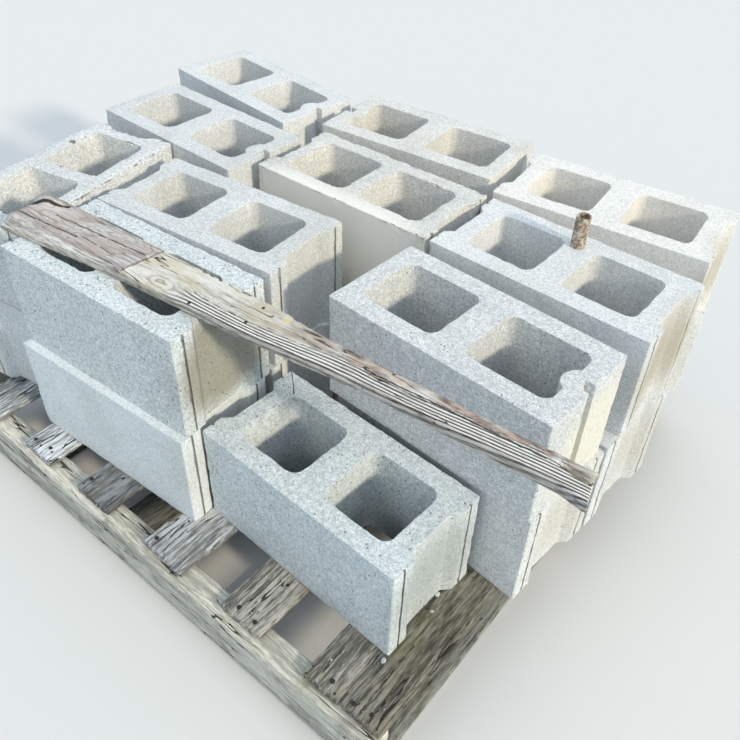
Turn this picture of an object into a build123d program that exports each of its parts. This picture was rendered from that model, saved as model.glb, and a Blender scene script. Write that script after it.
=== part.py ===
from build123d import *
import os
from math import cos, radians, sin

# All sizes are in millimetres. The origin is the middle of the pallet's underside,
# +X runs along the stringers, +Y runs along the deck boards to the back, +Z is up.

# The hollow concrete block
block_length = 397.0
block_width = 194.0
block_height = 194.0
centre_web = 51.5
face_shell = 35.5
core_corner = 17.0
edge_round = 2.0

# The cores are wider at the foot, so that the mould can be drawn: by this much at each
# shell and end wall, and by more at the web
shell_draft = 3.5
web_draft = 10.0

# The eared end: two ears beside a shallow recess, each ear with a thin groove
eared_wall = 45.0
ear_width = 40.0
recess_depth = 13.0
recess_slope = 14.0
ear_groove_width = 4.0
ear_groove_depth = 4.0
ear_groove_inset = 22.0

# The plain end and the sash end, which has a slot for a window frame and a rib behind it
flat_wall = 31.0
sash_width = 20.0
sash_depth = 17.0
sash_rib_radius = 27.0
sash_rib_reach = 15.0

# The wooden pallet
pallet_length = 1219.0
pallet_width = 1016.0
stringer_width = 50.0
stringer_height = 89.0
deck_thickness = 14.0
bottom_thickness = 14.0
bottom_board_width = 90.0
bottom_board_count = 5
deck_board_widths = [90.0, 90.0, 86.0, 92.0, 98.0, 93.0, 70.0, 75.0]
deck_board_shifts = [0.0, 17.0, 15.0, 5.0, 6.0, 5.0, 0.0, 0.0]
deck_board_setbacks = [8.0, 8.0, 8.0, 8.0, 9.0, 13.0, 14.0, 15.0]
skewed_board = 4
skewed_board_turn = -4.0
end_board_joint = 1.0

# The load: four rows of blocks in two layers, the rows numbered from the front
load_front = 111.0
row_gap = 35.0
end_gap = 25.0
crossways_end_gap = 3.0
crossways_back_gap = 3.5
crossways_lean = {"top": 11.1, "bottom": 10.0}

# The loose plank: how far along it is how wide, its split right end and its place
plank_length = 1026.0
plank_thickness = 24.0
plank_turn = 3.2
plank_overhang = 44.0
plank_back_line = 15.0
plank_end_slant = 6.0
plank_marks = [0.0, 120.0, 220.0, 500.0, 612.0, 710.0, 986.0]
plank_widths = [96.0, 86.0, 76.0, 64.0, 55.0, 45.0, 41.0]
plank_end_width = 48.0
split_length = 80.0
split_gap = 14.0
back_tongue = 10.0
back_tongue_shortfall = 6.0

# The pipe stub
pipe_diameter = 25.4
pipe_wall = 2.8
pipe_height = 58.0
pipe_from_back = 38.0
pipe_off_middle = -7.0

deck_top = bottom_thickness + stringer_height + deck_thickness
load_top = deck_top + 2 * block_height
layer_height = {"bottom": deck_top, "top": deck_top + block_height}
end_walls = {"ears": eared_wall, "plain": flat_wall, "sash": flat_wall}
standing = (Align.CENTER, Align.CENTER, Align.MIN)


def upright(outline, height):
    return extrude(make_face(outline), height)


def core(end):
    """The space of the right-hand core behind such an end, from the foot to the mouth."""
    mouth_left = centre_web / 2
    mouth_right = block_length / 2 - end_walls[end]
    mouth_half = block_width / 2 - face_shell
    foot_length = mouth_right - mouth_left + web_draft + shell_draft
    foot_width = 2 * (mouth_half + shell_draft)
    frustum = Wedge(
        foot_length,
        block_height,
        foot_width,
        web_draft,
        shell_draft,
        foot_length - shell_draft,
        foot_width - shell_draft,
        align=Align.MIN,
    )
    upright_frustum = Pos(mouth_left - web_draft, foot_width / 2, 0) * Rot(90, 0, 0) * frustum
    slanted = upright_frustum.edges().filter_by(lambda edge: edge.length > block_height - 1)
    slanted = slanted.filter_by(lambda edge: abs(edge.bounding_box().size.Z - block_height) < 1)
    return fillet(slanted, core_corner)


def ear_recess():
    """The space between the two ears of a right-hand end, with sloping sides."""
    half_mouth = block_width / 2 - ear_width
    half_floor = half_mouth - recess_slope
    end = block_length / 2
    floor = end - recess_depth
    outline = Polyline(
        (end, -half_mouth), (floor, -half_floor), (floor, half_floor), (end, half_mouth), close=True
    )
    return upright(outline, block_height)


def ear_grooves():
    groove = Box(2 * ear_groove_depth, ear_groove_width, block_height, align=standing)
    inset = block_width / 2 - ear_groove_inset
    return [Pos(block_length / 2, side * inset, 0) * groove for side in (-1, 1)]


def sash_slot():
    return Pos(block_length / 2, 0, 0) * Box(2 * sash_depth, sash_width, block_height, align=standing)


def sash_rib():
    """The half-round rib on the core's end wall that thickens it behind the slot."""
    middle = block_length / 2 - flat_wall + sash_rib_radius - sash_rib_reach
    return Pos(middle, 0, 0) * Cylinder(sash_rib_radius, block_height, align=standing)


def block(left_end, right_end):
    """One block, centred in plan with its foot at z = 0. An end is ears, sash or plain."""
    body = Box(block_length, block_width, block_height, align=standing)
    body = chamfer(body.edges().filter_by(Axis.Z), edge_round)
    for end, turned in ((right_end, Rot(0, 0, 0)), (left_end, Rot(0, 0, 180))):
        space = core(end)
        if end == "sash":
            space = space - sash_rib()
            body = body - turned * sash_slot()
        if end == "ears":
            body = body - turned * ear_recess()
            for groove in ear_grooves():
                body = body - turned * groove
        body = body - turned * space
    return body


def upside_down(shape):
    return Pos(0, 0, block_height) * Rot(180, 0, 0) * shape


def row_y(row):
    return -pallet_width / 2 + load_front + block_width / 2 + (row - 1) * (block_width + row_gap)


def column_x(column):
    return column * (block_length + end_gap)


def crossways_place(layer):
    """The block that stands crossways between rows 1 and 3 at the left: x, y and its turn."""
    lean = radians(crossways_lean[layer])
    beside = placed["row1_middle", layer][0] - block_length / 2
    behind = placed["row3_left", layer][1] - block_width / 2
    half_across = (block_width * cos(lean) + block_length * sin(lean)) / 2
    half_deep = (block_length * cos(lean) + block_width * sin(lean)) / 2
    x = beside - crossways_end_gap - half_across
    y = behind - crossways_back_gap - half_deep
    return x, y, 90 + crossways_lean[layer]


# Where each block of the grid stands: row, column, its shift along X and Y, and its turn
grid_blocks = {
    ("row1_middle", "top"): (1, 0, -59, -13, 3.2),
    ("row2_middle", "top"): (2, 0, -75, -39, 5.3),
    ("row2_right", "top"): (2, 1, 17, -13, -3.1),
    ("row3_left", "top"): (3, -1, 58, -54, -1.9),
    ("row3_middle", "top"): (3, 0, 52, -5, 0.2),
    ("row3_right", "top"): (3, 1, 38, -9, -1.2),
    ("row4_left", "top"): (4, -1, 1, -47, -7.2),
    ("row4_middle", "top"): (4, 0, 15, -3, 4.9),
    ("row4_right", "top"): (4, 1, 15, -2, 5.5),
    ("row1_middle", "bottom"): (1, 0, -57, -27, 3.4),
    ("row1_right", "bottom"): (1, 1, -71, 16, -2.4),
    ("row2_middle", "bottom"): (2, 0, -73, -45, 4.2),
    ("row2_right", "bottom"): (2, 1, 24, -3, -5.0),
    ("row3_left", "bottom"): (3, -1, 62, -55, -1.4),
    ("row3_middle", "bottom"): (3, 0, 50, -8, 0.5),
    ("row3_right", "bottom"): (3, 1, 43, -31, -4.9),
    ("row4_left", "bottom"): (4, -1, 8, -54, -5.5),
    ("row4_middle", "bottom"): (4, 0, 20, -11, 4.0),
    ("row4_right", "bottom"): (4, 1, 18, -15, 3.0),
}

# What each block's ends are, left end first. The others have ears at both ends.
block_ends = {
    ("row2_right", "top"): ("plain", "sash"),
    ("row3_left", "top"): ("plain", "sash"),
    ("row4_left", "top"): ("plain", "sash"),
    ("row4_middle", "top"): ("sash", "plain"),
}

# These lie upside down, with the thin side of their web up
laid_upside_down = [("row3_middle", "top"), ("crossways", "top")]

placed = {}
for key, (row, column, shift_x, shift_y, turn) in grid_blocks.items():
    placed[key] = (column_x(column) + shift_x, row_y(row) + shift_y, turn)
for layer in layer_height:
    placed["crossways", layer] = crossways_place(layer)


def stringer(y):
    body = Box(pallet_length, stringer_width, stringer_height, align=standing)
    return Pos(0, y, bottom_thickness) * body


def deck_board(number):
    """A deck board, counted from the left end, with its front end at its own setback."""
    width = deck_board_widths[number]
    setback = deck_board_setbacks[number]
    open_length = pallet_length - sum(deck_board_widths) - end_board_joint
    gap = open_length / (len(deck_board_widths) - 2)
    left = -pallet_length / 2 + sum(deck_board_widths[:number]) + number * gap
    if number == len(deck_board_widths) - 1:
        left = pallet_length / 2 - width
    x = left + width / 2 + deck_board_shifts[number]
    length = pallet_width - 2 * setback
    board = Box(width, length, deck_thickness, align=(Align.CENTER, Align.MIN, Align.MIN))
    turn = skewed_board_turn if number == skewed_board else 0
    return Pos(x, -pallet_width / 2 + setback, deck_top - deck_thickness) * Rot(0, 0, turn) * board


def bottom_board(number):
    spread = (pallet_length - bottom_board_width) / (bottom_board_count - 1)
    x = -(pallet_length - bottom_board_width) / 2 + number * spread
    return Pos(x, 0, 0) * Box(bottom_board_width, pallet_width, bottom_thickness, align=standing)


def plank():
    """The loose plank: a straight back edge, a tapered front edge and a split right end."""
    front_edge = [(mark, -width) for mark, width in zip(plank_marks, plank_widths)]
    split_root = -back_tongue - split_gap / 4
    outline = Polyline(
        (0, 0),
        (plank_end_slant, -plank_widths[0] / 2),
        *front_edge,
        (plank_length, -plank_end_width),
        (plank_length - back_tongue_shortfall, -back_tongue - split_gap),
        (plank_length - split_length, split_root),
        (plank_length - 2 * back_tongue_shortfall, -back_tongue),
        (plank_length - back_tongue_shortfall, 0),
        close=True,
    )
    x, y, turn = placed["row1_middle", "top"]
    corner = Pos(x - block_length / 2 - plank_overhang, y + plank_back_line, load_top)
    return corner * Rot(0, 0, plank_turn) * upright(outline, plank_thickness)


def pipe_stub():
    """A short tube that stands on the web of the third row's right block."""
    ring = Circle(pipe_diameter / 2) - Circle(pipe_diameter / 2 - pipe_wall)
    x, y, turn = placed["row3_right", "top"]
    on_web = Pos(pipe_off_middle, block_width / 2 - pipe_from_back, 0)
    return Pos(x, y, load_top) * Rot(0, 0, turn) * on_web * extrude(ring, pipe_height)


def save(shape, name):
    solid = shape.solids()[0]
    solid.label = name
    export_step(solid, os.path.join("parts", name + ".step"))


os.makedirs("parts", exist_ok=True)
shapes = {}
for key, (x, y, turn) in placed.items():
    spot, layer = key
    ends = block_ends.get(key, ("ears", "ears"))
    if ends not in shapes:
        shapes[ends] = block(*ends)
    shape = shapes[ends]
    if key in laid_upside_down:
        shape = upside_down(shape)
    save(Pos(x, y, layer_height[layer]) * Rot(0, 0, turn) * shape, layer + "_block_" + spot)

for place, side in (("front", -1), ("middle", 0), ("back", 1)):
    save(stringer(side * (pallet_width - stringer_width) / 2), "stringer_" + place)
for number in range(len(deck_board_widths)):
    save(deck_board(number), "deck_board_" + str(number + 1))
for number in range(bottom_board_count):
    save(bottom_board(number), "bottom_board_" + str(number + 1))
save(plank(), "loose_plank")
save(pipe_stub(), "pipe_stub")
print("blocks", len(placed), "deck top", deck_top, "load top", load_top)
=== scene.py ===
# %% [markdown]
# # A pallet of concrete blocks
#
# A wooden pallet carries two layers of hollow concrete blocks, a loose weathered plank
# and a short rusty pipe. The exact solids come from the frame, so the work here is the
# surface: worn arrises and grain on the concrete, raised grain, cracks and stains on the
# wood, pits and rust on the pipe, and the crumbs and nails that lie on the boards.

# %% Load the frame
import math
import random

import bpy
from mathutils import Matrix, Vector


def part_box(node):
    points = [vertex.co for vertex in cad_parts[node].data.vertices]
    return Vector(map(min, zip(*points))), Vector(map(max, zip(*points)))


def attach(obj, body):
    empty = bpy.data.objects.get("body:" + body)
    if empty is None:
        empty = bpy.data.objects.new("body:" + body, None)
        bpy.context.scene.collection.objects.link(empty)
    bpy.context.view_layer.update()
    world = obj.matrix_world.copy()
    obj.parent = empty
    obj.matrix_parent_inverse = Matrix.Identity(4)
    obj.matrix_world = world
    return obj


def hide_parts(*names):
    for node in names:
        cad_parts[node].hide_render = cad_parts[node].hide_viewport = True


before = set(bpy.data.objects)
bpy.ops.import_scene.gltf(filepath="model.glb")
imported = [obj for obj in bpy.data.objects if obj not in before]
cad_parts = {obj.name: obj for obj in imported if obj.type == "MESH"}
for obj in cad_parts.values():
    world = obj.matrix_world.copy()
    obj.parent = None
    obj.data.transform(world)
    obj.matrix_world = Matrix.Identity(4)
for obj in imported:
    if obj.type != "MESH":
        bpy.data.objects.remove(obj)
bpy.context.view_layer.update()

print("solids in the frame:", len(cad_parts))

# %% [markdown]
# ## The camera
#
# The view looks down on the load from its front right corner. A camera is easiest to read
# as a place, a heading in plan, a tilt downwards and a small roll, each turned in that
# order. The lens and the small shift give the crop.

# %% The camera
frame_pixels = 740
focal_pixels = 790.0
middle_pixel = (362.7, 342.0)
camera_place = Vector((0.876, -0.887, 1.2197))
camera_heading = math.radians(38.56)
camera_tilt = math.radians(39.96)
camera_roll = math.radians(1.73)

scene = bpy.context.scene


def into_scene(name, data):
    """A new object that holds this data, linked into the scene."""
    made = bpy.data.objects.new(name, data)
    scene.collection.objects.link(made)
    return made


camera_data = bpy.data.cameras.new("camera")
camera = into_scene("camera", camera_data)
camera_data.sensor_width = 36.0
camera_data.lens = focal_pixels / frame_pixels * camera_data.sensor_width
camera_data.shift_x = (frame_pixels / 2 - middle_pixel[0]) / frame_pixels
camera_data.shift_y = (middle_pixel[1] - frame_pixels / 2) / frame_pixels
heading = Matrix.Rotation(camera_heading, 4, "Z")
tilt = Matrix.Rotation(math.pi / 2 - camera_tilt, 4, "X")
roll = Matrix.Rotation(camera_roll, 4, "Z")
camera.matrix_world = Matrix.Translation(camera_place) @ heading @ tilt @ roll
scene.camera = camera
print("lens", round(camera_data.lens, 2), "mm")

# %% [markdown]
# ## A few words for node graphs
#
# Every finish below is a graph of nodes. These short helpers each add one or a few nodes
# to the graph that was begun last and return the socket that comes out, so that a finish
# reads as a list of steps.

# %% A graph and its sockets
graph = None


def begin(tree):
    """Makes this the graph that the helpers work on."""
    global graph
    graph = tree


def plug(socket, value):
    """Gives a socket a plain value, or links another socket to it."""
    if isinstance(value, bpy.types.NodeSocket):
        graph.links.new(value, socket)
    elif isinstance(value, tuple) and len(value) == 3 and socket.type == "RGBA":
        socket.default_value = (*value, 1)
    else:
        socket.default_value = value


def plug_all(sockets, **values):
    """Fills sockets by name, with _ for a space."""
    for label, value in values.items():
        plug(sockets[label.replace("_", " ")], value)


def add_node(kind, **values):
    """A node with values or links for its sockets."""
    made = graph.nodes.new("ShaderNode" + kind)
    plug_all(made.inputs, **values)
    return made


print("graph helpers ready")

# %% Patterns
def noise(vector, scale, detail=3.0, roughness=0.55, output="Fac"):
    """Soft random noise from 0 to 1."""
    made = add_node("TexNoise", Vector=vector, Scale=scale, Detail=detail, Roughness=roughness)
    return made.outputs[output]


def cells(vector, scale):
    """The distance to the nearest of many scattered points."""
    return add_node("TexVoronoi", Vector=vector, Scale=scale).outputs["Distance"]


def band(value, low, high, start=0.0, stop=1.0):
    """A smooth step: start where the value is below low, stop where it is above high."""
    made = add_node("MapRange", Value=value, From_Min=low, From_Max=high, To_Min=start, To_Max=stop)
    made.interpolation_type = "SMOOTHSTEP"
    return made.outputs["Result"]


def placed(vector, place=(0, 0, 0), turn=(0, 0, 0), scale=(1, 1, 1)):
    """Moves, turns and scales the coordinates of a pattern."""
    made = add_node("Mapping", Vector=vector, Location=place, Rotation=turn, Scale=scale)
    return made.outputs["Vector"]


print("pattern helpers ready")

# %% Arithmetic and colour
def sums(operation, first, second=0.0):
    """One step of arithmetic."""
    made = add_node("Math")
    made.operation = operation
    plug(made.inputs[0], first)
    plug(made.inputs[1], second)
    return made.outputs["Value"]


def plus(first, second):
    return sums("ADD", first, second)


def minus(first, second):
    return sums("SUBTRACT", first, second)


def times(first, second):
    return sums("MULTIPLY", first, second)


def add_all(*terms):
    """The sum of pairs of a value and its share."""
    total = 0.0
    for value, share in terms:
        total = plus(times(value, share), total)
    return total


def arrows(operation, first, second=None, scale=None):
    """One step of arithmetic on places and directions."""
    made = add_node("VectorMath")
    made.operation = operation
    plug(made.inputs[0], first)
    if second is not None:
        plug(made.inputs[1], second)
    if scale is not None:
        plug(made.inputs["Scale"], scale)
    number = operation in ("DOT_PRODUCT", "DISTANCE", "LENGTH")
    return made.outputs["Value" if number else "Vector"]


def parts(vector):
    """A vector's three numbers."""
    split = add_node("SeparateXYZ", Vector=vector)
    return [split.outputs[axis] for axis in "XYZ"]


def joined(x, y, z):
    """A vector from three numbers."""
    return add_node("CombineXYZ", X=x, Y=y, Z=z).outputs["Vector"]


def blend(amount, first, second, kind="MIX"):
    """Mixes two colours."""
    made = add_node("Mix")
    made.data_type = "RGBA"
    made.blend_type = kind
    plug_all(made.inputs, Factor=amount, A=first, B=second)
    return made.outputs["Result"]


print("arithmetic helpers ready")

# %% Helpers for groups and materials
FLOAT = "NodeSocketFloat"
VECTOR = "NodeSocketVector"


def new_group(name, inputs, outputs):
    """Begins a group with named sockets, and gives its input node and its output node too."""
    group = bpy.data.node_groups.new(name, "ShaderNodeTree")
    for label, kind, value in inputs:
        socket = group.interface.new_socket(label, in_out="INPUT", socket_type=kind)
        if value is not None:
            socket.default_value = value
    for label in outputs:
        group.interface.new_socket(label, in_out="OUTPUT", socket_type=FLOAT)
    begin(group)
    return group, group.nodes.new("NodeGroupInput"), group.nodes.new("NodeGroupOutput")


def use_group(group, **values):
    """Places a group in a material with its own values."""
    made = add_node("Group")
    made.node_tree = group
    plug_all(made.inputs, **values)
    return made.outputs


def new_material(name, roughness=0.9):
    """Begins a material, and gives its shader and its object coordinates too."""
    material = bpy.data.materials.new(name)
    material.use_nodes = True
    begin(material.node_tree)
    shader = graph.nodes["Principled BSDF"]
    plug_all(shader.inputs, Roughness=roughness, Specular_IOR_Level=0.25)
    return material, shader, add_node("TexCoord").outputs["Object"]


def raise_surface(shader, height, distance, strength=1.0):
    """Feeds a height to the shader's normal."""
    bump = add_node("Bump", Height=height, Distance=distance, Strength=strength)
    plug(shader.inputs["Normal"], bump.outputs["Normal"])


def card(red, green, blue, times=1.0):
    """A colour read from a card, 0 to 255, as the amounts of light that a shader takes."""
    amounts = []
    for value in (red, green, blue):
        share = value / 255
        amount = share / 12.92 if share <= 0.04045 else ((share + 0.055) / 1.055) ** 2.4
        amounts.append(min(amount * times, 0.97))
    return tuple(amounts)


print("a mid grey card is", round(card(188, 188, 188)[0], 2))

# %% [markdown]
# ## Floor and light
#
# The floor is plain and pale. A warm, fairly low lamp from the right shows the blocks'
# ends and the cores' left walls, and a cool sky, brighter overhead, fills the rest, so
# that a colour renders about as it is written. The floor looks paler to the camera
# than to the light, so that it stays pale and doesn't brighten the near faces from below.

# %% The lamp
lamp_height_angle = math.radians(24)
lamp_side_angle = math.radians(-5)
towards_lamp = Vector((
    math.cos(lamp_height_angle) * math.cos(lamp_side_angle),
    math.cos(lamp_height_angle) * math.sin(lamp_side_angle),
    math.sin(lamp_height_angle),
))
lamp_data = bpy.data.lights.new("warm_lamp", "SUN")
lamp_data.energy = 2.3
lamp_data.color = (1.0, 0.9, 0.7)
lamp_data.angle = math.radians(5)
lamp = into_scene("warm_lamp", lamp_data)
lamp.rotation_euler = towards_lamp.to_track_quat("Z", "Y").to_euler()
scene.view_settings.view_transform = "Standard"
print("lamp towards", tuple(round(c, 2) for c in towards_lamp))

# %% The sky
sky_low_strength = 0.5
sky_high_strength = 1.2
sky_colour = (0.79, 0.9, 1.0)
backdrop_colour = (0.8, 0.81, 0.82)
world = bpy.data.worlds.new("studio")
scene.world = world
world.use_nodes = True
begin(world.node_tree)
graph.nodes.clear()
upward = parts(add_node("TexCoord").outputs["Generated"])[2]
overhead = add_node("MapRange", Value=upward, To_Min=sky_low_strength, To_Max=sky_high_strength)
lit = add_node("Background", Color=sky_colour, Strength=overhead.outputs["Result"])
seen = add_node("Background", Color=backdrop_colour)
chosen = add_node("MixShader", Fac=add_node("LightPath").outputs["Is Camera Ray"])
plug(chosen.inputs[1], lit.outputs["Background"])
plug(chosen.inputs[2], seen.outputs["Background"])
add_node("OutputWorld", Surface=chosen.outputs["Shader"])
print("sky nodes:", len(graph.nodes))

# %% The floor
floor_for_light = (0.42, 0.47, 0.51)
floor_for_camera = (0.76, 0.745, 0.73)
bpy.ops.mesh.primitive_plane_add(size=30, location=(0, 0, 0))
floor = bpy.context.object
floor.name = "floor"
floor_paint = bpy.data.materials.new("floor_paint")
floor_paint.use_nodes = True
begin(floor_paint.node_tree)
seen_directly = add_node("LightPath").outputs["Is Camera Ray"]
floor_colour = blend(seen_directly, floor_for_light, floor_for_camera)
plug_all(graph.nodes["Principled BSDF"].inputs, Base_Color=floor_colour, Roughness=0.9)
floor.data.materials.append(floor_paint)
print("floor nodes:", len(graph.nodes))

# %% [markdown]
# ## Marks at one place
#
# A crack, a scratch, a nail hole or a stain sits at one place. It could be painted on an
# image, but an image needs a file. Here a mark is the distance to a point or to a straight
# run, on coordinates that waver a little, so that its edge looks broken and not drawn.

# %% Marks at one place
def wavering(spot, amount, scale=70.0):
    """The same place, moved a little at random."""
    offset = arrows("SUBTRACT", noise(spot, scale, detail=2.0, output="Color"), (0.5, 0.5, 0.5))
    return arrows("ADD", spot, arrows("SCALE", offset, scale=amount))


def line_mark(spot, start, end, width, waver=0.006):
    """A thin, wavering line between two points."""
    run = Vector(end) - Vector(start)
    offset = arrows("SUBTRACT", wavering(spot, waver), tuple(start))
    share = sums("DIVIDE", arrows("DOT_PRODUCT", offset, tuple(run)), run.length_squared)
    share = sums("MINIMUM", sums("MAXIMUM", share, 0.0), 1.0)
    nearest = arrows("SCALE", tuple(run), scale=share)
    return band(arrows("DISTANCE", offset, nearest), width * 0.35, width, 1.0, 0.0)


def spot_mark(spot, centre, radius, waver=0.004):
    """A patch round a point."""
    distance = arrows("DISTANCE", wavering(spot, waver), tuple(centre))
    return band(distance, radius * 0.55, radius, 1.0, 0.0)


def add_marks(spot, colour, marks):
    """Lays marks over a colour. Each is its points, its size, its colour and its strength."""
    for points, size, mark_colour, strength in marks:
        shape = line_mark if len(points) == 2 else spot_mark
        colour = blend(times(shape(spot, *points, size), strength), colour, mark_colour)
    return colour


crack_colour = card(52, 52, 52)
hole_colour = card(34, 30, 27)
print("marks ready")

# %% [markdown]
# ## Concrete
#
# A cast block shows grit, sand and small stones a few millimetres wide, pale flecks,
# dark open pores, soft clouds of damper, darker cement and faint upright streaks where
# the mould slid off. One group makes these, so that each block can have its own values.

# %% The concrete's grain
cement_grain, inlet, outlet = new_group(
    "cement_grain",
    [("Vector", VECTOR, None), ("Coarse", FLOAT, 0.4), ("Pores", FLOAT, 0.4)],
    ["Shade", "Flecks", "Specks", "Pits", "Height"],
)
spot = inlet.outputs["Vector"]
coarse = inlet.outputs["Coarse"]
sand = noise(spot, 470.0, detail=2.0, roughness=0.8)
grit = noise(placed(spot, place=(1.3, 0.4, 2.2)), 310.0, detail=1.0)
gravel = noise(spot, 165.0, detail=2.0, roughness=0.65)
clouds = noise(spot, 10.0, detail=4.0, roughness=0.6)
streaks = noise(placed(spot, scale=(1, 1, 0.05)), 240.0, detail=1.0)
gravel_part = times(minus(gravel, 0.5), times(coarse, 1.7))
sand_share = plus(1.0, times(coarse, 1.2))
sand_part = times(minus(sand, 0.5), sand_share)
wide_part = minus(add_all((clouds, 0.3), (streaks, 0.18)), 0.24)
grit_part = minus(grit, 0.5)
shade = add_all((gravel_part, 1.0), (sand_part, 1.0), (wide_part, 1.0), (grit_part, 0.6))
fleck_pick = band(noise(spot, 80.0, detail=1.0), 0.52, 0.58)
flecks = times(band(cells(spot, 240.0), 0.14, 0.3, 1.0, 0.0), fleck_pick)
speck_cells = cells(placed(spot, place=(0.7, 2.3, 4.1)), 400.0)
speck_size = times(coarse, 0.28)
specks = band(minus(speck_cells, speck_size), -0.08, 0.08, 1.0, 0.0)
pore_size = times(inlet.outputs["Pores"], 0.33)
pore_distance = cells(placed(spot, place=(3.1, 1.7, 0.9)), 125.0)
pore_mask = band(minus(pore_distance, pore_size), -0.05, 0.05, 1.0, 0.0)
pore_pick = band(noise(spot, 55.0, detail=1.0), 0.54, 0.6)
pits = times(pore_mask, pore_pick)
height = add_all((sand, 1.0), (gravel, 0.7), (pits, -2.0), (specks, -0.8))
plug_all(
    outlet.inputs,
    Shade=plus(shade, 0.5), Flecks=flecks, Specks=specks, Pits=pits, Height=height,
)
print("cement grain nodes:", len(graph.nodes))

# %% A concrete finish
dark_cement = card(190, 193, 193)
pale_cement = card(253, 253, 252)
speck_colour = card(128, 129, 126)
pore_colour = card(98, 99, 99)
fleck_colour = card(252, 252, 250)
dust_colour = card(206, 194, 170)
# Painted shade: a dark line down each groove in the blocks' ends, where shade falls.
groove_painted_shade = card(92, 90, 84)


def concrete(name, tone, coarse, pores, relief, shift=(0, 0, 0), tint=None, marks=(), grooves=()):
    """Cast concrete. Tone is lighter above 0; coarse and pores set how rough it looks."""
    material, shader, spot = new_material(name, roughness=0.93)
    own = placed(spot, place=shift)
    grain = use_group(cement_grain, Vector=own, Coarse=coarse, Pores=pores)
    level = band(plus(grain["Shade"], tone), 0.08, 0.92)
    colour = blend(level, dark_cement, pale_cement)
    dusty = band(noise(own, 7.0, detail=4.0), 0.5, 0.72, 0.0, 0.16)
    colour = blend(dusty, colour, dust_colour, "MULTIPLY")
    if tint is not None:
        colour = blend(1.0, colour, tint, "MULTIPLY")
    colour = blend(times(grain["Flecks"], 0.8), colour, fleck_colour)
    colour = blend(times(grain["Specks"], 0.55), colour, speck_colour)
    colour = blend(times(grain["Pits"], 0.7), colour, pore_colour)
    colour = add_marks(spot, colour, marks)
    # A dark line of painted shade down each end groove.
    for start, end in grooves:
        groove_shade = times(line_mark(spot, start, end, 0.0046, 0.0012), 0.65)
        colour = blend(groove_shade, colour, groove_painted_shade)
    plug(shader.inputs["Base Color"], colour)
    raise_surface(shader, grain["Height"], relief, 0.9)
    return material


print("concrete from", dark_cement, "to", pale_cement)

# %% [markdown]
# ## Worn blocks
#
# A real block has no sharp edge: the arris is a little round and has lost sand grains all
# along, and here and there a chip. A bevel alone would be too even. Each block is copied
# from its exact solid, its triangles are joined into whole sides, its arrises get a narrow
# bevel, and planes that run with the block cut it into a grid. A weight that fades away
# from the old sharp edges then lets noise eat into the arrises alone. Deep wear can fold
# the narrow bevel outwards, so a shrinkwrap pulls such points back to the solid.

# %% Helpers for pieces
def only(piece):
    """Selects this one piece, for the operators that follow."""
    bpy.ops.object.select_all(action="DESELECT")
    piece.select_set(True)
    bpy.context.view_layer.objects.active = piece


def edit(piece):
    """Selects only this piece and opens its mesh for editing."""
    only(piece)
    bpy.ops.object.mode_set(mode="EDIT")


def leave_edit():
    bpy.ops.object.mode_set(mode="OBJECT")


def copy_solid(node, name):
    """A copy of a solid from the frame with its corners joined."""
    piece = into_scene(name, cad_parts[node].data.copy())
    edit(piece)
    bpy.ops.mesh.select_all(action="SELECT")
    bpy.ops.mesh.remove_doubles(threshold=0.00002)
    leave_edit()
    piece.data.materials.clear()
    return piece


def sharp_edges_of(piece):
    """A wire of only the sharp edges, which the wear is measured from."""
    wire = into_scene("sharp_edges", piece.data.copy())
    edit(wire)
    bpy.ops.mesh.select_mode(type="EDGE")
    bpy.ops.mesh.select_all(action="DESELECT")
    bpy.ops.mesh.edges_select_sharp(sharpness=math.radians(35))
    bpy.ops.mesh.select_all(action="INVERT")
    bpy.ops.mesh.delete(type="EDGE")
    leave_edit()
    return wire


def apply_modifiers(piece):
    only(piece)
    for modifier in list(piece.modifiers):
        bpy.ops.object.modifier_apply(modifier=modifier.name)


def modify(piece, name, kind, **settings):
    """Adds a modifier with these settings."""
    modifier = piece.modifiers.new(name, kind)
    for setting, value in settings.items():
        setattr(modifier, setting, value)


def remesh(piece, size, evenness):
    """Rebuilds the surface with faces of about this size, and fewer where it is flat."""
    modify(piece, "even_faces", "REMESH", mode="VOXEL", voxel_size=size, adaptivity=evenness)
    apply_modifiers(piece)


def weigh_near(piece, wire, reach):
    """A vertex group that is 1 at the wire and 0 from the reach onwards."""
    group = piece.vertex_groups.new(name="arris")
    group.add(range(len(piece.data.vertices)), 1.0, "REPLACE")
    modify(
        piece, "near_edges", "VERTEX_WEIGHT_PROXIMITY",
        vertex_group="arris", target=wire,
        proximity_mode="GEOMETRY", proximity_geometry={"EDGE"},
        min_dist=reach, max_dist=0.0,
    )
    apply_modifiers(piece)


def weigh(piece, name, weight_at):
    """A vertex group whose weight is worked out from each vertex's place."""
    group = piece.vertex_groups.new(name=name)
    for vertex in piece.data.vertices:
        weight = weight_at(vertex.co)
        if weight > 0.001:
            group.add([vertex.index], min(weight, 1.0), "REPLACE")


def rise(value, low, high):
    """0 below low, 1 above high and smooth between them."""
    share = min(max((value - low) / (high - low), 0.0), 1.0)
    return share * share * (3 - 2 * share)


def cloud_pattern(name, size, contrast=1.0, brightness=1.0, depth=2):
    pattern = bpy.data.textures.new(name, "CLOUDS")
    pattern.noise_scale = size
    pattern.noise_depth = depth
    pattern.contrast = contrast
    pattern.intensity = brightness
    return pattern


def move_surface(piece, name, distance, group="", pattern=None, space=None, direction="NORMAL"):
    """Moves the surface by up to this distance, by a pattern and a vertex group."""
    modify(
        piece, name, "DISPLACE",
        direction=direction, mid_level=0.0, strength=distance, vertex_group=group, texture=pattern,
        texture_coords="LOCAL" if space is None else "OBJECT", texture_coords_object=space,
    )


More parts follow.
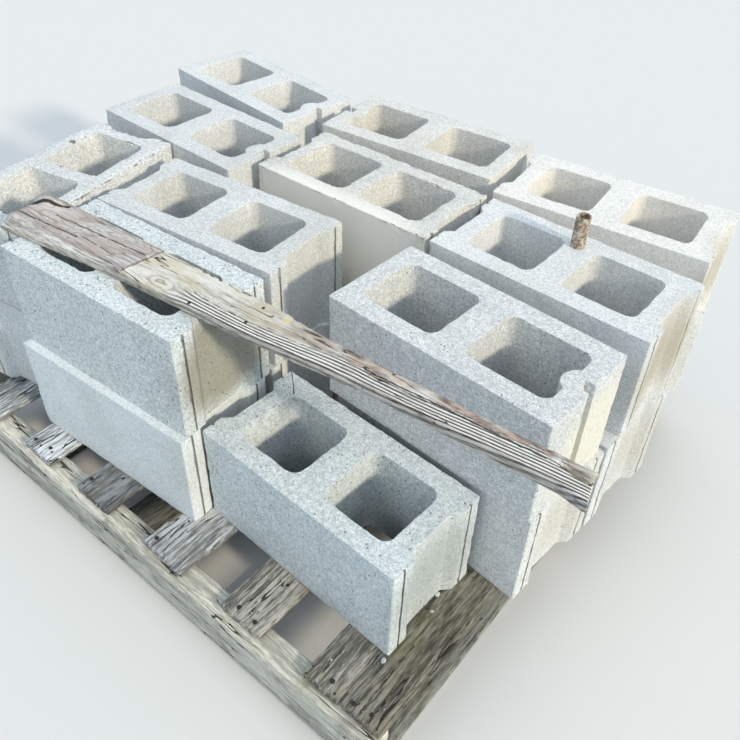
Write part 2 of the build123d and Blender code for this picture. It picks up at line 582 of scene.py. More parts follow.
def hand_over(piece, node, material):
    """Gives a finished piece its material and puts it in the place of its solid."""
    piece.vertex_groups.clear()
    piece.data.materials.clear()
    piece.data.materials.append(material)
    only(piece)
    bpy.ops.object.shade_smooth_by_angle(angle=math.radians(50))
    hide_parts(node)
    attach(piece, "root")


def longest_heading(piece):
    """The heading in plan of the longest level edge, which is the way that a block runs."""
    points = piece.data.vertices
    longest = 0.0
    heading = 0.0
    for edge in piece.data.edges:
        run = points[edge.vertices[1]].co - points[edge.vertices[0]].co
        if abs(run.z) < 0.0001 and run.length > longest:
            longest = run.length
            heading = math.atan2(run.y, run.x)
    return heading


def join_flat_faces(piece):
    """Joins the triangles of each flat side into one face."""
    edit(piece)
    bpy.ops.mesh.select_all(action="SELECT")
    bpy.ops.mesh.dissolve_limited(angle_limit=math.radians(0.5))
    leave_edit()


def round_arrises(piece, width):
    """A narrow bevel along every sharp edge."""
    modify(
        piece, "rounding", "BEVEL",
        width=width, segments=2, limit_method="ANGLE", angle_limit=math.radians(35),
        use_clamp_overlap=False,
    )
    apply_modifiers(piece)


def level_axes(heading):
    """The level directions along and across a heading."""
    ahead = Vector((math.cos(heading), math.sin(heading), 0))
    return ahead, Vector((-ahead.y, ahead.x, 0))


def cut_grid(piece, heading, spacing):
    """Cuts every side into a grid, with planes that run with the piece."""
    for axis in (*level_axes(heading), Vector((0, 0, 1))):
        reach = [axis.dot(vertex.co) for vertex in piece.data.vertices]
        low, high = min(reach), max(reach)
        count = max(2, round((high - low) / spacing))
        edit(piece)
        for step in range(1, count):
            place = axis * (low + (high - low) * step / count)
            bpy.ops.mesh.select_all(action="SELECT")
            bpy.ops.mesh.bisect(plane_co=place, plane_no=axis)
        leave_edit()


def keep_inside(piece, node):
    """Pulls back to the solid what folded outwards where the wear is deeper than the bevel."""
    modify(
        piece, "keep_inside", "SHRINKWRAP",
        target=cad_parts[node], wrap_method="NEAREST_SURFACEPOINT", wrap_mode="INSIDE",
    )


grain_loss = cloud_pattern("grain_loss", 0.009)
fine_loss = cloud_pattern("fine_loss", 0.0045)
chip_loss = cloud_pattern("chip_loss", 0.026, contrast=5.0, brightness=0.0)
print("wear patterns ready")

# %% [markdown]
# ## What each block shows
#
# No two blocks are alike. Two are badly worn, some are coarser or full of pores, and they
# lean to blue or to cream. This is a table, so that one function can make every block.
# Stains, scratches and painted shade in the end grooves are marks at places on the real block.
# So are painted shade in the cores and on the end of the front lower block, painted sunlight on
# two faces, and earth stains on the ends that are partly painted shade.

# %% What each block shows
load_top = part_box("top_block_row3_right")[1][2]
lower_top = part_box("bottom_block_row1_right")[1][2]

bluish = (0.93, 0.98, 1.0)
creamy = (1.0, 0.97, 0.93)
# end_stain_and_shade is the strength of a brown stain on the right end, which is partly painted
# shade.
block_look = {
    "top_block_crossways": {"wear": 2.6, "coarse": 0.6, "tone": -0.08},
    "top_block_row1_middle": {"wear": 1.5, "coarse": 0.7, "pores": 0.65, "tint": bluish},
    "top_block_row2_middle": {"tone": -0.1},
    "top_block_row2_right": {"wear": 0.6, "coarse": 0.6, "pores": 0.5, "tone": -0.12, "flat": True},
    "top_block_row3_left": {"tone": -0.06, "flat": True},
    "top_block_row3_middle": {"wear": 2.3, "coarse": 0.4, "tone": -0.1, "tint": creamy},
    "top_block_row3_right": {"end_stain_and_shade": 0.8},
    "top_block_row4_left": {"flat": True},
    "top_block_row4_middle": {"tone": -0.04, "tint": creamy, "flat": True},
    "top_block_row4_right": {"tone": 0.16, "tint": creamy, "end_stain_and_shade": 0.95},
    "bottom_block_row1_middle": {"tone": 0.1, "tint": bluish},
    "bottom_block_row1_right": {"coarse": 0.6, "pores": 0.6, "tint": bluish},
    "bottom_block_row2_right": {"coarse": 0.5, "pores": 0.5, "tone": 0.03, "end_stain_and_shade": 0.4},
    "bottom_block_row3_right": {"end_stain_and_shade": 0.4},
    "bottom_block_row4_right": {"end_stain_and_shade": 0.4},
}
print("blocks with a look of their own:", len(block_look))

# %% The marks on single blocks
grey_line = card(92, 92, 90)
pale_line = card(252, 252, 250)
# A brown earth stain, used round the blocks' ends, where it is partly painted shade.
earth_and_shade = card(174, 163, 138)
# A darker earth, used round one block's end, where it is partly painted shade.
damp_earth_and_shade = card(146, 140, 121)
# Painted shade for the end of the front lower block.
painted_end_shade = card(156, 162, 156)
# Painted shade for the lower parts of the front lower block's cores.
painted_core_shade = card(92, 98, 102)
# Painted pale sunlight, for one block's near face.
painted_pale_sunlight = card(253, 247, 238)
# Painted warm sunlight, for one block's right end.
painted_warm_sunlight = card(240, 234, 214)
# Places just in front of that near face, where the painted sunlight centres.
sunlit_low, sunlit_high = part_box("top_block_row3_middle")
sunlit_places = [
    (sunlit_low[0] + along, sunlit_low[1] - 0.07, sunlit_high[2] - 0.06)
    for along in (0.1, 0.2, 0.3)
]
marks_of = {
    # Painted sunlight on its near face.
    "top_block_row3_middle": tuple(((place,), 0.15, painted_pale_sunlight, 0.8) for place in sunlit_places),
    "top_block_row2_right": (
        # Painted sunlight on its right end.
        (((0.69, -0.05, 0.37),), 0.15, painted_warm_sunlight, 0.6),
    ),
    "bottom_block_row1_right": (
        (((0.1567, -0.1788, lower_top), (0.2002, -0.2161, lower_top)), 0.0016, crack_colour, 0.9),
        (((0.2002, -0.2161, lower_top), (0.201, -0.2165, 0.17)), 0.0015, crack_colour, 0.8),
        (((0.2015, -0.24, 0.29), (0.204, -0.27, 0.215)), 0.0012, grey_line, 0.7),
        # Painted shade over its right end.
        (((0.64, -0.296, 0.214),), 0.17, painted_end_shade, 0.7),
        # Painted shade: darker towards the bottom of its two cores.
        (((0.261, -0.28, 0.12),), 0.11, painted_core_shade, 0.75),
        (((0.441, -0.288, 0.12),), 0.11, painted_core_shade, 0.75),
    ),
    "top_block_row3_right": (
        (((0.428, 0.186, load_top), (0.452, 0.213, load_top)), 0.0014, pale_line, 0.9),
        (((0.436, 0.183, load_top), (0.458, 0.203, load_top)), 0.0012, pale_line, 0.8),
        (((0.421, 0.197, load_top), (0.443, 0.216, load_top)), 0.0011, pale_line, 0.7),
    ),
    "top_block_crossways": (
        (((-0.484, -0.123, load_top),), 0.008, hole_colour, 0.7),
    ),
    "top_block_row1_middle": (
        # A darker earth stain round its right end, partly painted shade.
        (((0.139, -0.302, 0.41),), 0.12, damp_earth_and_shade, 0.8),
    ),
    "bottom_block_row1_middle": (
        # An earth stain round its right end, partly painted shade.
        (((0.142, -0.316, 0.21),), 0.13, earth_and_shade, 0.2),
    ),
    "top_block_row2_middle": (
        # An earth stain round its right end, partly painted shade.
        (((0.123, -0.092, 0.43),), 0.12, earth_and_shade, 0.22),
    ),
}


def stained_and_shaded_end(node, strength):
    """An earth stain that is partly painted shade, whose middle lies off the right end, so that it
    fades towards the edges.
    """
    low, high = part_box(node)
    centre = (high[0] + 0.09, (low[1] + high[1]) / 2, (low[2] + high[2]) / 2)
    return (((centre,), 0.17, earth_and_shade, strength),)


groove_ahead = 0.1955
groove_beside = 0.075


def end_grooves(node, heading):
    """The four thin grooves in a block's ears, which get a dark line of painted shade. Flat ends
    have none.
    """
    if "flat" in block_look.get(node, {}):
        return []
    low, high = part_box(node)
    foot = Vector(((low[0] + high[0]) / 2, (low[1] + high[1]) / 2, low[2]))
    ahead, beside = level_axes(heading)
    ahead *= groove_ahead
    beside *= groove_beside
    corners_in_plan = (ahead + beside, ahead - beside, -ahead + beside, -ahead - beside)
    upright = Vector((0, 0, high[2] - low[2] - 0.005))
    return [(tuple(foot + corner), tuple(foot + corner + upright)) for corner in corners_in_plan]


print("marked blocks:", len(marks_of))

# %% Worn blocks
bevel_width = 0.0009
deep_wear = 1.5
plain_spacing = 0.008
deep_spacing = 0.0058
hidden_spacing = 0.014
hidden_blocks = ("bottom_block_row2_middle", "bottom_block_row3_middle", "bottom_block_row4_middle")


def worn_block(node, order):
    """A block with worn arrises, from its exact solid."""
    piece = copy_solid(node, "worn_" + node)
    join_flat_faces(piece)
    heading = longest_heading(piece)
    wire = sharp_edges_of(piece)
    round_arrises(piece, bevel_width)
    look = block_look.get(node, {})
    wear = look.get("wear", 1.0)
    spacing = deep_spacing if wear > deep_wear else plain_spacing
    if node in hidden_blocks:
        spacing = hidden_spacing
    cut_grid(piece, heading, spacing)
    weigh_near(piece, wire, 0.01 if wear > deep_wear else 0.004)
    move_surface(piece, "grains", -0.0006 * wear, "arris", grain_loss)
    move_surface(piece, "sand", -0.0004 * wear, "arris", fine_loss)
    move_surface(piece, "chips", -0.0011 * wear, "arris", chip_loss)
    keep_inside(piece, node)
    apply_modifiers(piece)
    bpy.data.objects.remove(wire)
    marks = marks_of.get(node, ())
    # An earth stain on the right end, partly painted shade.
    if "end_stain_and_shade" in look:
        marks = marks + stained_and_shaded_end(node, look["end_stain_and_shade"])
    finish = concrete(
        "concrete_" + node,
        tone=look.get("tone", 0.0) + 0.02 * math.sin(2.4 * order),
        coarse=look.get("coarse", 0.28),
        pores=look.get("pores", 0.3),
        shift=(0.37 * order, 0.0, 0.11 * order),
        relief=0.0006 if "pores" in look else 0.0004,
        tint=look.get("tint"),
        marks=marks,
        grooves=end_grooves(node, heading),
    )
    hand_over(piece, node, finish)
    modify(piece, "even_shading", "WEIGHTED_NORMAL", keep_sharp=True)
    apply_modifiers(piece)
    return len(piece.data.polygons)


block_nodes = sorted(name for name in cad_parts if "_block_" in name)
block_faces = [worn_block(node, order) for order, node in enumerate(block_nodes)]
print("worn blocks:", len(block_nodes), "faces:", sum(block_faces))

# %% [markdown]
# ## Weathered wood
#
# Wood left outside turns grey, its soft early wood washes out between hard lines of late
# wood, and it cracks along the grain. A pattern that is stretched along the board makes
# all three. One group does it for every board, with the grain along X.

# %% The grain of weathered wood
wood_grain, inlet, outlet = new_group(
    "wood_grain",
    [("Vector", VECTOR, None), ("Lines", FLOAT, 170.0), ("Cracks", FLOAT, 0.5)],
    ["Tone", "Ridges", "Cracks", "Height"],
)
spot = inlet.outputs["Vector"]
wander = noise(placed(spot, scale=(3.0, 12.0, 12.0)), 1.0, detail=2.0)
x, y, z = parts(spot)
bent_y = plus(y, times(wander, 0.02))
along = joined(times(x, 0.05), bent_y, z)
ridges = noise(along, inlet.outputs["Lines"], detail=3.0, roughness=0.65)
short = joined(times(x, 0.12), bent_y, z)
fibres = noise(short, 340.0, detail=2.0, roughness=0.7)
tone = noise(placed(spot, scale=(4.0, 22.0, 22.0)), 1.0, detail=3.0)
split_field = noise(joined(times(x, 0.11), bent_y, z), 58.0, detail=2.0)
split_line = sums("ABSOLUTE", minus(split_field, 0.5))
split_where = noise(placed(spot, place=(5, 2, 1), scale=(5.0, 30.0, 30.0)), 1.0, detail=1.0)
crack_share = times(inlet.outputs["Cracks"], 0.026)
crack_width = times(band(split_where, 0.5, 0.62), crack_share)
cracks = band(minus(split_line, crack_width), -0.004, 0.002, 1.0, 0.0)
height = minus(add_all((ridges, 1.0), (fibres, 0.3)), cracks)
fibre_lines = add_all((ridges, 0.45), (fibres, 0.55))
plug_all(outlet.inputs, Tone=tone, Ridges=fibre_lines, Cracks=cracks, Height=height)
print("wood grain nodes:", len(graph.nodes))

# %% A weathered wood finish
lichen = card(176, 188, 160)
earth_stain = card(96, 86, 68)


def weathered_wood(
    name, look, stain, stained, cracks=0.6, dark=0.34, place=(0, 0, 0), turn=0.0, marks=()
):
    """Grey wood of an average colour, with its grain along the turned X axis."""
    material, shader, spot = new_material(name, roughness=0.88)
    own = placed(spot, place=place, turn=(0, 0, -turn))
    grain = use_group(wood_grain, Vector=own, Cracks=cracks)
    mixed = add_all((grain["Ridges"], 0.7), (grain["Tone"], 0.3))
    colour = blend(band(mixed, 0.41, 0.59), card(*look, times=dark), card(*look, times=1.84 - dark))
    patch = band(noise(own, 9.0, detail=5.0, roughness=0.65), 0.5, 0.66, 0.0, stained)
    colour = blend(patch, colour, stain)
    dirt = band(noise(placed(own, place=(2, 3, 4)), 16.0, detail=4.0), 0.54, 0.7, 0.0, 0.45)
    colour = blend(dirt, colour, earth_stain)
    colour = blend(times(grain["Cracks"], 0.9), colour, hole_colour)
    colour = add_marks(spot, colour, marks)
    plug(shader.inputs["Base Color"], colour)
    raise_surface(shader, grain["Height"], 0.0016, 0.9)
    return material


print("stain colours", lichen, earth_stain)

# %% [markdown]
# ## The pallet's boards
#
# A deck board is thin, rough-sawn and years old: its long edges are soft, its face is
# furrowed along the grain and its ends are frayed, each bundle of fibres worn back by a
# different amount. The furrows and the frayed ends come from one pattern, stretched along
# the grain by the empty that it is measured in, and that empty is removed afterwards.

# %% A worn board
fibre_pattern = cloud_pattern("fibre_pattern", 1.0, contrast=1.6, depth=3)
board_wear = cloud_pattern("board_wear", 0.014)
fray_reach = 0.022


def fibre_space(along_x, length=0.25, across=0.006, turn=0.0):
    """An empty whose long axis stretches a pattern along the grain."""
    space = into_scene("fibre_space", None)
    space.scale = (length, across, across) if along_x else (across, length, across)
    space.rotation_euler = (0, 0, turn)
    bpy.context.view_layer.update()
    return space


def worn_board(node, material, along_x, size, furrow, end_loss):
    """A board with soft edges, furrows along the grain and frayed ends."""
    piece = copy_solid(node, "worn_" + node)
    wire = sharp_edges_of(piece)
    remesh(piece, size, 0.0)
    weigh_near(piece, wire, 0.014)
    low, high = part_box(node)
    axis = 0 if along_x else 1
    weigh(piece, "first_end", lambda place: rise(low[axis] - place[axis], -fray_reach, 0.0))
    weigh(piece, "last_end", lambda place: rise(place[axis] - high[axis], -fray_reach, 0.0))
    fibres = fibre_space(along_x)
    way = "X" if along_x else "Y"
    move_surface(piece, "furrows", -furrow, "", fibre_pattern, fibres)
    move_surface(piece, "soft_edges", -0.0035, "arris", board_wear)
    move_surface(piece, "first_fray", end_loss, "first_end", fibre_pattern, fibres, way)
    move_surface(piece, "last_fray", -end_loss, "last_end", fibre_pattern, fibres, way)
    apply_modifiers(piece)
    bpy.data.objects.remove(wire)
    bpy.data.objects.remove(fibres)
    hand_over(piece, node, material)
    return piece


print("board tools ready")

# %% Deck boards
quarter_turn = math.pi / 2
deck_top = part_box("deck_board_1")[1][2]
board_look = {
    1: (172, 176, 178),
    2: (194, 198, 200),
    3: (201, 204, 207),
    4: (130, 132, 133),
    5: (172, 173, 174),
    6: (160, 156, 148),
    7: (152, 148, 140),
    8: (126, 122, 110),
}
board_stain = {
    6: (card(140, 138, 112), 0.3),
    7: (card(120, 118, 88), 0.35),
    8: (card(112, 108, 80), 0.45),
}
nail_holes = {
    3: ((-0.204, -0.482), (-0.174, -0.478)),
    4: ((-0.068, -0.484),),
    5: ((0.136, -0.418),),
    6: ((0.349, -0.398),),
    7: ((0.469, -0.471), (0.469, -0.485), (0.521, -0.481)),
}
board_cracks = {
    5: (((0.15, -0.508), (0.146, -0.43)),),
    6: (((0.33, -0.508), (0.336, -0.4)), ((0.35, -0.508), (0.347, -0.46))),
    7: (((0.49, -0.508), (0.486, -0.42)),),
    8: (((0.584, -0.492), (0.582, -0.428)), ((0.566, -0.508), (0.563, -0.35))),
}
plain_stain = (card(150, 148, 136), 0.25)
for number in range(1, 9):
    marks = []
    for x, y in nail_holes.get(number, ()):
        marks.append((((x, y, deck_top),), 0.0035, hole_colour, 0.95))
    for (x1, y1), (x2, y2) in board_cracks.get(number, ()):
        marks.append((((x1, y1, deck_top), (x2, y2, deck_top)), 0.0018, hole_colour, 0.9))
    stain, stained = board_stain.get(number, plain_stain)
    board_wood = weathered_wood(
        f"deck_wood_{number}",
        board_look[number],
        stain,
        stained,
        cracks=0.9 if number > 5 else 0.6,
        place=(0.0, 0.31 * number, 0.0),
        turn=quarter_turn,
        marks=marks,
    )
    furrow = 0.0016 if number > 5 else 0.0012
    worn_board(f"deck_board_{number}", board_wood, False, 0.0045, furrow, 0.007)
print("deck top at", round(deck_top, 4))

# %% Bottom boards and stringers
for number in range(1, 6):
    under_wood = weathered_wood(
        f"bottom_wood_{number}",
        (140, 140, 132),
        *plain_stain,
        place=(0.0, 0.27 * number, 0.5),
        turn=quarter_turn,
    )
    worn_board(f"bottom_board_{number}", under_wood, False, 0.006, 0.002, 0.005)
for number, where in enumerate(("front", "middle", "back")):
    beam_wood = weathered_wood(
        "stringer_wood_" + where,
        (212, 207, 194),
        lichen,
        0.2,
        cracks=0.7,
        dark=0.6,
        place=(0.0, 0.43 * number, 0.0),
    )
    worn_board("stringer_" + where, beam_wood, True, 0.006, 0.0014, 0.004)
print("bottom boards and stringers done")

# %% [markdown]
# ## The loose plank
#
# The plank is older than the pallet. At its left end a smooth brown layer is still on it,
# with a knot that bulges up and a pale, rounded bark edge in front. From there on the
# layer has broken off. The front half shows hard white lines of late wood with the soft
# wood gone between them, the back half is smoother, green and yellow, and the back edge
# ends in a rough red-brown strip. On the left the back edge bulges out. The finish needs
# places along and across the plank, so a Mapping node turns the coordinates with it.

# %% Places on the plank
plank_corner = Vector((-0.3015, -0.298, 0.529))
plank_turn = math.radians(3.2)
plank_to_world = Matrix.Translation(plank_corner) @ Matrix.Rotation(plank_turn, 4, "Z")
world_to_plank = plank_to_world.inverted()
layer_end = 0.2856
layer_slant = 0.139
front_half = -0.04
knot_place = (0.346, -0.053)
mound_place = (0.026, -0.019)
print("plank starts at", tuple(plank_corner))

# %% The plank's shape
plank = copy_solid("loose_plank", "worn_loose_plank")
plank_wire = sharp_edges_of(plank)
remesh(plank, 0.0026, 0.0)
weigh_near(plank, plank_wire, 0.008)
bpy.data.objects.remove(plank_wire)


def on_plank(weight):
    """Turns a weight by place on the plank into one by place in the world."""
    return lambda place: weight(*(world_to_plank @ place))


def mound_part(u, v, h):
    far = math.hypot((u - mound_place[0]) / 0.034, (v - mound_place[1]) / 0.019)
    return (1.0 - rise(far, 0.1, 1.0)) * rise(h, -0.012, -0.004)


def knot_part(u, v, h):
    far = math.hypot((u - knot_place[0]) / 0.02, (v - knot_place[1]) / 0.014)
    return (1.0 - rise(far, 0.2, 1.0)) * rise(h, -0.012, -0.004)


def bare_part(u, v, h):
    return rise(u - layer_end - layer_slant * v, -0.003, 0.004) * rise(h, -0.014, -0.004)


def waney_part(u, v, h):
    return rise(-v, 0.07, 0.094) * (1.0 - rise(u, 0.235, 0.275)) * rise(h, -0.02, -0.002)


def ridged_part(u, v, h):
    return rise(u, 0.34, 0.42) * (1.0 - rise(u, 0.88, 0.94)) * rise(front_half - v, -0.008, 0.008)


def whole_part(u, v, h):
    return 1.0 - rise(u, 0.92, 0.96)


def wider_part(u, v, h):
    """The back edge of the left half, which bulges out a little."""
    return rise(v, -0.04, -0.002) * rise(u, 0.0, 0.04) * (1.0 - rise(u, 0.5, 0.64))


def bite_part(u, v, h):
    bites = ((0.376, 0.006), (0.392, 0.005), (0.41, 0.006), (0.56, 0.008), (0.845, 0.007))
    deepest = max(1.0 - rise(abs(u - place) / width, 0.3, 1.0) for place, width in bites)
    return deepest * rise(v, -0.006, 0.004)


plank_parts = (
    mound_part, knot_part, bare_part, waney_part,
    ridged_part, wider_part, bite_part, whole_part,
)
for part in plank_parts:
    weigh(plank, part.__name__, on_plank(part))
plank_fibres = fibre_space(True, 0.3, 0.0055, plank_turn)
long_waves = fibre_space(True, 0.6, 0.03, plank_turn)
move_surface(plank, "layer_gone", -0.0022, "bare_part", direction="Z")
move_surface(plank, "bark_edge", -0.012, "waney_part", direction="Z")
move_surface(plank, "knot_mound", 0.012, "mound_part", direction="Z")
move_surface(plank, "small_knot", 0.0025, "knot_part", direction="Z")
move_surface(plank, "wide_back_edge", 0.0095, "wider_part", direction="Y")
move_surface(plank, "bite_marks", -0.005, "bite_part", direction="Y")
move_surface(plank, "soft_waves", -0.0014, "whole_part", fibre_pattern, long_waves)
move_surface(plank, "fine_grain", -0.0007, "whole_part", fibre_pattern, plank_fibres)
move_surface(plank, "washed_out_grain", -0.001, "ridged_part", fibre_pattern, plank_fibres)
move_surface(plank, "worn_edges", -0.0014, "arris", board_wear)
apply_modifiers(plank)
bpy.data.objects.remove(plank_fibres)
bpy.data.objects.remove(long_waves)
print("plank faces:", len(plank.data.polygons))

# %% The plank's finish
weathered_plank, shader, spot = new_material("weathered_plank", roughness=0.86)
start = -(Matrix.Rotation(-plank_turn, 4, "Z") @ plank_corner)
own = placed(spot, place=tuple(start), turn=(0, 0, -plank_turn))
u, v, h = parts(own)

from_knot_v = minus(v, knot_place[1])
from_knot_u = times(minus(u, knot_place[0]), 0.42)
knot_distance = arrows("LENGTH", joined(from_knot_u, from_knot_v, 0.0))
knot_pull = band(knot_distance, 0.0, 0.034, 0.85, 0.0)
bent_v = minus(v, times(from_knot_v, knot_pull))
grain_place = joined(u, bent_v, h)
grain = use_group(wood_grain, Vector=grain_place, Lines=170.0, Cracks=0.45)
print("grain turned round the knot")

# %% The plank's lines of late wood
# They run from the front edge to where the smooth back half starts
front_edge = add_all((u, 0.065), (1.0, -0.1115))
half_way = add_all((band(u, 0.5, 0.7), 0.016), (band(u, 0.7, 1.0), 0.012), (1.0, front_half))
across = sums("DIVIDE", minus(bent_v, half_way), minus(front_edge, half_way))
slow_wave = sums("SINE", add_all((u, 7.0), (1.0, 0.5)))
quick_wave = sums("SINE", add_all((u, 19.0), (1.0, 2.0)))
ragged = noise(joined(times(u, 0.12), v, h), 90.0, detail=3.0)
line_turns = 47.0
line_place = add_all(
    (across, line_turns), (h, -600.0), (slow_wave, 2.0), (quick_wave, 1.1), (ragged, 4.5)
)
lines = sums("SINE", line_place)
late_wood = band(lines, -0.75, 0.05)
print("lines across the front half: about", round(line_turns / math.tau))

# %% Where the plank is bare and where it is ridged
rough_edge = times(minus(noise(own, 60.0), 0.5), 0.03)
past_layer = minus(minus(u, layer_end), times(v, layer_slant))
bare = band(plus(past_layer, rough_edge), -0.003, 0.003)
in_front = band(plus(minus(v, half_way), rough_edge), -0.004, 0.004, 1.0, 0.0)
ridged = times(in_front, band(u, 0.34, 0.42))
soft = add_all((grain["Ridges"], 0.6), (grain["Tone"], 0.4))
print("layer ends at", layer_end)

# %% The brown layer and the bark edge
layer_colour = blend(band(soft, 0.38, 0.6), card(146, 137, 132), card(218, 213, 210))
pink = band(noise(own, 14.0, detail=3.0), 0.42, 0.62, 0.0, 0.5)
layer_colour = blend(pink, layer_colour, card(192, 174, 166))
figure_noise = noise(joined(times(u, 0.3), v, h), 26.0, detail=1.0)
figure = band(sums("SINE", times(figure_noise, 75.0)), 0.55, 1.0, 0.0, 0.4)
layer_colour = blend(figure, layer_colour, card(122, 106, 98))
bark_front = times(band(v, -0.078, -0.068, 1.0, 0.0), band(u, 0.24, 0.28, 1.0, 0.0))
bark_colour = blend(band(grain["Ridges"], 0.38, 0.6), card(160, 154, 148), card(236, 234, 230))
layer_colour = blend(bark_front, layer_colour, bark_colour)
print("brown layer ready")

# %% The bare wood
bare_colour = blend(band(soft, 0.38, 0.58), card(164, 156, 143), card(232, 228, 220))
mossy_part = band(u, 0.48, 0.66, 0.45, 0.0)
mossy = band(noise(placed(own, scale=(0.5, 1, 1)), 22.0, detail=4.0), 0.47, 0.6)
bare_colour = blend(times(mossy, mossy_part), bare_colour, card(198, 184, 148))
brown_part = band(u, 0.52, 0.66, 0.0, 0.9)
brown = band(noise(placed(own, scale=(0.4, 1, 1)), 30.0, detail=4.0), 0.34, 0.56)
bark_noise = noise(placed(own, scale=(0.22, 1, 1)), 130.0, detail=4.0, roughness=0.7)
bark_brown = blend(band(bark_noise, 0.38, 0.62), card(94, 78, 68), card(186, 162, 146))
bare_colour = blend(times(brown, brown_part), bare_colour, bark_brown)
line_colour = blend(late_wood, card(92, 84, 78), card(236, 233, 228))
line_colour = blend(band(grain["Ridges"], 0.36, 0.5, 0.5, 0.0), line_colour, card(128, 118, 108))
bare_colour = blend(times(ridged, 0.92), bare_colour, line_colour)
colour = blend(bare, layer_colour, bare_colour)
print("bare wood ready")

# %% The plank's sides, knot and cracks
side_strip = band(h, -0.01, -0.006, 1.0, 0.0)
side_colour = blend(band(grain["Ridges"], 0.38, 0.58), card(122, 112, 102), card(198, 191, 181))
colour = blend(times(side_strip, 0.6), colour, side_colour)
ring_waves = noise(own, 90.0, detail=2.0)
rings = sums("SINE", add_all((knot_distance, 760.0), (ring_waves, 5.0)))
ring_colour = blend(band(rings, -0.9, 0.4), card(150, 138, 124), card(222, 217, 209))
colour = blend(band(knot_distance, 0.008, 0.015, 0.7, 0.0), colour, ring_colour)
crack_strength = add_all((bare, 0.6), (1.0, 0.25))
colour = blend(times(grain["Cracks"], crack_strength), colour, hole_colour)
plank_marks = (
    (((0.002, -0.038, 0.0), (0.066, -0.002, 0.0)), 0.004, hole_colour, 0.95),
    (((0.0, -0.012, 0.0), (0.04, 0.004, 0.0)), 0.0028, card(74, 62, 54), 0.8),
    (((0.01, -0.06, 0.0), (0.15, -0.052, 0.0)), 0.002, hole_colour, 0.85),
    (((0.07, -0.03, 0.0), (0.275, -0.02, 0.0)), 0.002, hole_colour, 0.85),
    (((0.15, -0.046, 0.0), (0.24, -0.05, 0.0)), 0.0016, hole_colour, 0.7),
    (((0.276, -0.069, 0.0), (0.287, 0.01, 0.0)), 0.0026, card(84, 72, 62), 0.6),
    (((0.414, -0.062, 0.0),), 0.004, hole_colour, 0.95),
    (((0.508, -0.044, 0.0),), 0.0036, hole_colour, 0.95),
    (((0.506, -0.005, 0.0),), 0.0036, hole_colour, 0.95),
    (((0.551, -0.007, 0.0),), 0.009, card(226, 208, 158), 0.7),
    (((0.7, -0.022, 0.0), (0.958, -0.017, 0.0)), 0.0022, hole_colour, 0.85),
)
colour = add_marks(joined(u, v, 0.0), colour, plank_marks)
plug(shader.inputs["Base Color"], colour)
relief = add_all((grain["Height"], 0.7), (times(late_wood, ridged), 0.8))
raise_surface(shader, relief, 0.0026, 0.95)
hand_over(plank, "loose_plank", weathered_plank)
print("plank finish nodes:", len(graph.nodes))

# %% [markdown]
# ## The pipe stub
#
# A piece of old pipe has scaled and pitted walls: brown scale, tan dust in the pits and
# some orange where it is damp. The solid is rebuilt with faces under a millimetre, so that
# real pits can be pressed into it, and the colour follows noise of the same size.

# %% The pipe stub
rust, shader, spot = new_material("rusty_steel", roughness=0.8)
scale_noise = noise(spot, 150.0, detail=4.0, roughness=0.65)
patch_noise = noise(spot, 60.0, detail=3.0)
colour = blend(band(scale_noise, 0.38, 0.62), card(132, 114, 96), card(212, 202, 184))
colour = blend(band(patch_noise, 0.55, 0.7, 0.0, 0.6), colour, card(150, 108, 74))
colour = blend(band(cells(spot, 260.0), 0.1, 0.28, 0.7, 0.0), colour, card(66, 50, 40))
plug(shader.inputs["Base Color"], colour)
raise_surface(shader, scale_noise, 0.0014)
pipe = copy_solid("pipe_stub", "pitted_pipe")
remesh(pipe, 0.001, 0.01)
move_surface(pipe, "pits", -0.0009, "", fine_loss)
apply_modifiers(pipe)
hand_over(pipe, "pipe_stub", rust)
print("pipe faces:", len(pipe.data.polygons))

# %% [markdown]
# ## Nails and crumbs
#
# Two nails hold each board to a stringer, their heads flush and brown. Crumbs of concrete
# have dropped from the blocks' arrises on to the boards. Each of the two is modelled once
# and copied. A crumb is a coarse ball that noise has made uneven.

# %% One nail head
# Its top is selected, then set in and raised twice
bpy.ops.mesh.primitive_cylinder_add(vertices=14, radius=0.0036, depth=0.003, location=(0, 0, 0))
nail_head = bpy.context.object
edit(nail_head)
bpy.ops.mesh.select_mode(type="FACE")
bpy.ops.mesh.select_all(action="DESELECT")
leave_edit()
for face in nail_head.data.polygons:
    face.select = face.normal.z > 0.9
edit(nail_head)
bpy.ops.mesh.inset(thickness=0.001)
bpy.ops.transform.translate(value=(0, 0, 0.0005))
bpy.ops.mesh.inset(thickness=0.001)
bpy.ops.transform.translate(value=(0, 0, 0.0002))
leave_edit()
print("nail head faces:", len(nail_head.data.polygons))

# %% One crumb
bpy.ops.mesh.primitive_ico_sphere_add(subdivisions=2, radius=1.0, location=(0, 0, 0))
one_crumb = bpy.context.object
lumps = cloud_pattern("lumps", 0.9, contrast=1.4)
move_surface(one_crumb, "lumps", -0.6, "", lumps)
apply_modifiers(one_crumb)
print("crumb faces:", len(one_crumb.data.polygons))


# %% Copies of both
def copies(master, name, places, material):
    """Copies of one piece at places, each with its size, turn and height, as one piece."""
    made = []
    for place, size, turn in places:
        copy = into_scene(name, master.data.copy())
        copy.location = place
        copy.scale = size
        copy.rotation_euler = turn
        made.append(copy)
    only(made[0])
    for copy in made:
        copy.select_set(True)
    bpy.ops.object.transform_apply(location=True, rotation=True, scale=True)
    bpy.ops.object.join()
    piece = bpy.context.object
    piece.name = name
    piece.data.materials.clear()
    piece.data.materials.append(material)
    only(piece)
    bpy.ops.object.shade_smooth_by_angle(angle=math.radians(40))
    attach(piece, "root")
    bpy.data.objects.remove(master)
    return piece


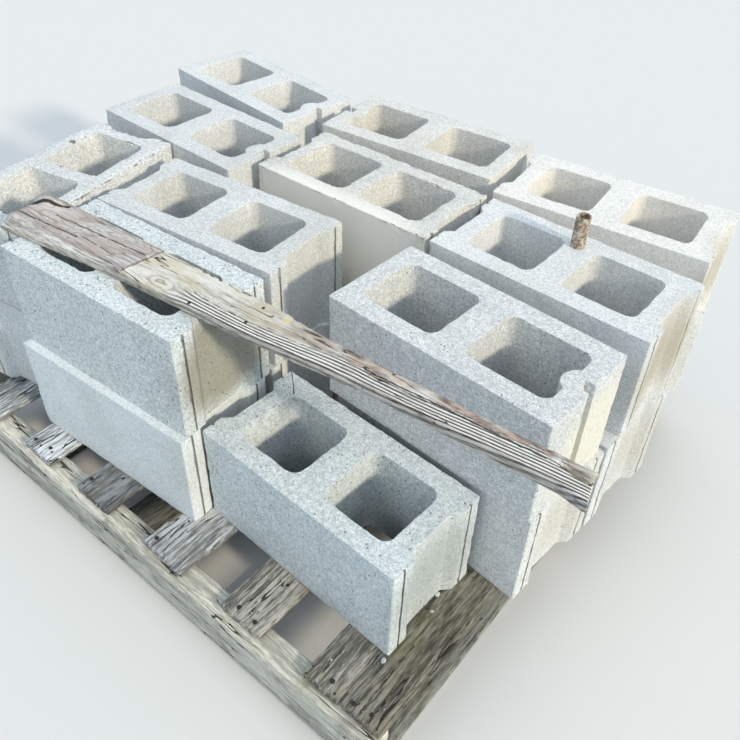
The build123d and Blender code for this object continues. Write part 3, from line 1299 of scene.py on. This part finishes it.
chance = random.Random(11)
front_nails = (
    (-0.224, -0.479), (-0.184, -0.474), (-0.065, -0.469),
    (0.122, -0.475), (0.319, -0.475), (0.356, -0.477),
    (0.507, -0.47), (0.551, -0.475), (0.581, -0.471),
)
nail_depth = 0.001
nail_places = [((x, y, deck_top - nail_depth), (1, 1, 1), (0, 0, 0)) for x, y in front_nails]
for number in range(1, 9):
    low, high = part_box(f"deck_board_{number}")
    middle = (low[0] + high[0]) / 2
    for side in (-0.022, 0.022):
        x = middle + side + chance.uniform(-0.004, 0.004)
        y = 0.478 + chance.uniform(-0.006, 0.006)
        nail_places.append(((x, y, deck_top - nail_depth), (1, 1, 1), (0, 0, 0)))
nail_rust, shader, spot = new_material("nail_rust", roughness=0.75)
flaky = noise(spot, 900.0, detail=2.0)
colour = blend(band(flaky, 0.35, 0.65), card(36, 32, 30), card(68, 60, 54))
plug(shader.inputs["Base Color"], colour)
raise_surface(shader, flaky, 0.0004)
copies(nail_head, "nail_heads", nail_places, nail_rust)

crumb_places = []


def drop_crumb(x, y, z, radius):
    """A crumb of this radius, lying on a surface at height z."""
    ranges = ((0.9, 1.4), (0.8, 1.1), (0.6, 0.8))
    size = [radius * chance.uniform(low, high) for low, high in ranges]
    turn = (0, 0, chance.uniform(0, 6.28))
    crumb_places.append(((x, y, z + radius * 0.35), size, turn))


for x, y, radius in ((0.544, -0.399, 0.0052), (0.541, -0.258, 0.0046), (0.551, -0.288, 0.004)):
    drop_crumb(x, y, deck_top, radius)
drop_crumb(-0.22, -0.255, load_top, 0.0048)
for number in range(3, 9):
    low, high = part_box(f"deck_board_{number}")
    for _ in range(2):
        x = chance.uniform(low[0] + 0.012, high[0] - 0.012)
        y = chance.uniform(-0.48, -0.435)
        drop_crumb(x, y, deck_top - 0.0015, chance.uniform(0.001, 0.0022))
crumb_concrete = concrete("crumb_concrete", tone=-0.35, coarse=0.3, pores=0.35, relief=0.0004)
copies(one_crumb, "crumbs", crumb_places, crumb_concrete)
print("nails", len(nail_places), "crumbs", len(crumb_places))
